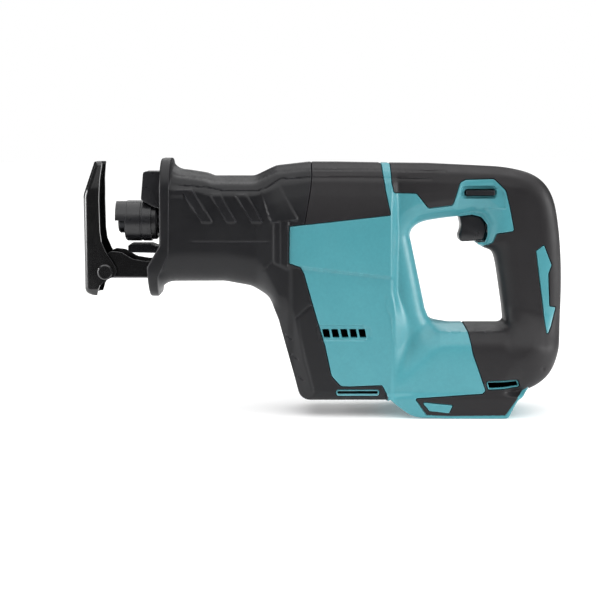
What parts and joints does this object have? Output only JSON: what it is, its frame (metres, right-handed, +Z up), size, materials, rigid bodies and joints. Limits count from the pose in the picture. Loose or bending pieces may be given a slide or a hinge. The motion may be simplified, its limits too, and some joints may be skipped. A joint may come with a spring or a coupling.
{
  "type": "cordless reciprocating saw",
  "caption": "Compact cordless reciprocating saw with D-handle, pivoting shoe, sprung blade clamp, rubber front cover and slide-on battery foot, shown without battery or blade.",
  "frame": {"origin": "centre of the bounding box in X and Y, at the underside of the battery foot", "axes": "+X from the blade end to the grip, +Y to the user's right, +Z up"},
  "size_m": [0.385, 0.076, 0.2068],
  "materials": {
    "teal_plastic": "fine-grained moulded nylon, satin",
    "black_overmould": "soft textured elastomer",
    "black_rubber_cover": "moulded rubber, lightly textured",
    "black_plastic": "glass-filled nylon, satin",
    "coated_steel": "black coating, glossy, scuffed at edges",
    "machined_steel": "turned and ground",
    "dark_steel": "oiled dark steel",
    "cast_alloy": "die-cast, matt",
    "sintered_bronze": "oil-impregnated, dull",
    "silicon_steel": "stacked laminations",
    "enamelled_copper": "enamelled copper wire",
    "circuit_board": "solder-masked laminate",
    "clear_lens": "clear moulded lens",
    "tinned_brass": "tinned contact strip"
  },
  "bodies": {
    "base": {"front_cover": "black_rubber_cover", "housing_left": "teal_plastic", "housing_right": "teal_plastic", "top_pad_left": "black_overmould", "top_pad_right": "black_overmould", "grip_left": "black_overmould", "grip_right": "black_overmould", "leg_vent_left": "teal_plastic", "leg_vent_right": "teal_plastic", "housing_screw_1": "dark_steel", "housing_screw_2": "dark_steel", "housing_screw_3": "dark_steel", "housing_screw_4": "dark_steel", "housing_screw_5": "dark_steel", "lamp_hood": "black_plastic", "work_lamp": "clear_lens", "blade_guide": "dark_steel", "gear_case": "cast_alloy", "gear_case_cover": "cast_alloy", "case_screw_left": "dark_steel", "case_screw_right": "dark_steel", "front_bush": "sintered_bronze", "rear_bush": "sintered_bronze", "crank_bearing": "dark_steel", "stator_core": "silicon_steel", "winding_upper": "enamelled_copper", "winding_lower": "enamelled_copper", "sensor_board": "circuit_board", "bearing_bracket": "cast_alloy", "bearing_lower": "dark_steel", "bearing_upper": "dark_steel", "air_baffle": "black_plastic", "trigger_spring": "machined_steel", "switch_body": "black_plastic", "controller": "black_plastic", "terminal_block": "black_plastic", "terminal_plus": "tinned_brass", "terminal_minus": "tinned_brass"},
    "slider": {"slider_rod": "machined_steel", "clamp_body": "dark_steel", "clamp_collar": "black_plastic", "clamp_pin": "machined_steel", "clamp_spring": "machined_steel"},
    "sleeve": {"clamp_sleeve": "black_plastic"},
    "crank": {"crank_gear": "machined_steel", "crank_shaft": "dark_steel", "crank_roller": "machined_steel"},
    "rotor": {"rotor_shaft": "machined_steel", "rotor_core": "silicon_steel", "fan": "black_plastic"},
    "bracket": {"shoe_bracket": "coated_steel"},
    "shoe_body": {"shoe": "coated_steel", "shoe_pin": "coated_steel"},
    "trigger_body": {"trigger": "black_plastic"},
    "lock_body": {"lock_button": "black_plastic"}
  },
  "joints": [
    {"name": "blade_stroke", "type": "slide", "parent": "base", "child": "slider", "axis": [1, 0, 0], "range_m": [-0.01, 0.01]},
    {"name": "clamp_turn", "type": "hinge", "parent": "slider", "child": "sleeve", "pos_m": [-0.15, 0, 0.156], "axis": [1, 0, 0], "range_deg": [0, 60], "stiffness_Nm_per_rad": 0.06},
    {"name": "crank_spin", "type": "hinge", "parent": "base", "child": "crank", "pos_m": [-0.011, 0, 0.12], "axis": [0, 0, 1], "continuous": true},
    {"name": "motor_spin", "type": "hinge", "parent": "base", "child": "rotor", "pos_m": [0.016, 0, 0.06], "axis": [0, 0, 1], "continuous": true},
    {"name": "shoe_depth", "type": "slide", "parent": "base", "child": "bracket", "axis": [-1, 0, 0], "range_m": [0, 0.025]},
    {"name": "shoe_tilt", "type": "hinge", "parent": "bracket", "child": "shoe_body", "pos_m": [-0.1754, 0, 0.1161], "axis": [0, 1, 0], "range_deg": [-20, 8]},
    {"name": "trigger_pull", "type": "slide", "parent": "base", "child": "trigger_body", "axis": [1, 0, 0], "range_m": [0, 0.007], "stiffness_N_per_m": 600, "springref_m": -0.003, "deforming": ["trigger_spring"]},
    {"name": "lock_slide", "type": "slide", "parent": "base", "child": "lock_body", "axis": [0, 1, 0], "range_m": [0, 0.005]}
  ],
  "couplings": [
    {"joint": "motor_spin", "follows": "crank_spin", "ratio": -5}
  ]
}
